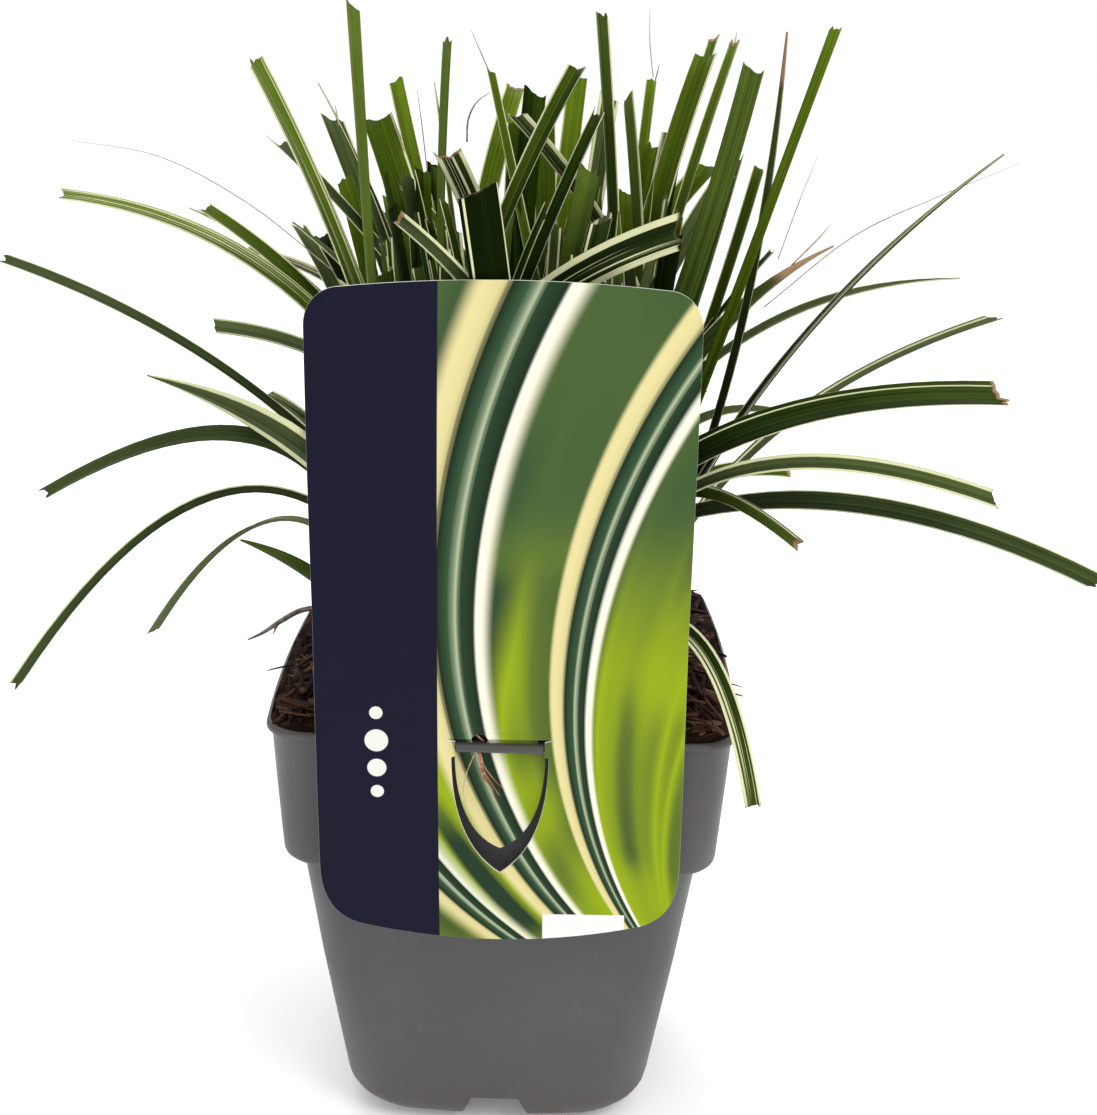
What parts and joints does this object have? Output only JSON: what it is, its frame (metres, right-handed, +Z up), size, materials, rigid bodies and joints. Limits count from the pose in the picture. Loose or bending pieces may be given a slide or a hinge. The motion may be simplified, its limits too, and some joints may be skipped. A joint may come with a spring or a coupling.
{
  "type": "potted carex sedge",
  "caption": "Trimmed clump of striped sedge blades in a square collared nursery pot of bark soil, with a plain plant card hooked on the label bar at its rim.",
  "frame": {"origin": "on the surface that the pot stands on, under the centre of the pot and of the clump's spread", "axes": "+Z up, -Y towards the plant card at the front, +X to the right seen from the card"},
  "size_m": [0.3036, 0.2457, 0.3167],
  "materials": {
    "pot_plastic": "satin moulded plastic with fine scuffs and soil specks",
    "bark_soil": "rough shredded bark and root fibre",
    "card_print": "smooth printed plastic card with white cut edges",
    "sedge_leaf": "satin green blades with pale cream margins"
  },
  "bodies": {
    "root": {"plant_label": "card_print", "pot": "pot_plastic", "shoot_01": "sedge_leaf", "shoot_02": "sedge_leaf", "shoot_03": "sedge_leaf", "shoot_04": "sedge_leaf", "shoot_05": "sedge_leaf", "shoot_06": "sedge_leaf", "shoot_07": "sedge_leaf", "shoot_08": "sedge_leaf", "shoot_09": "sedge_leaf", "shoot_10": "sedge_leaf", "shoot_11": "sedge_leaf", "shoot_12": "sedge_leaf", "shoot_13": "sedge_leaf", "shoot_14": "sedge_leaf", "shoot_15": "sedge_leaf", "shoot_16": "sedge_leaf", "shoot_17": "sedge_leaf", "shoot_18": "sedge_leaf", "shoot_19": "sedge_leaf", "shoot_20": "sedge_leaf", "shoot_21": "sedge_leaf", "shoot_22": "sedge_leaf", "shoot_23": "sedge_leaf", "shoot_24": "sedge_leaf", "shoot_25": "sedge_leaf", "shoot_26": "sedge_leaf", "soil": "bark_soil"}
  },
  "joints": []
}
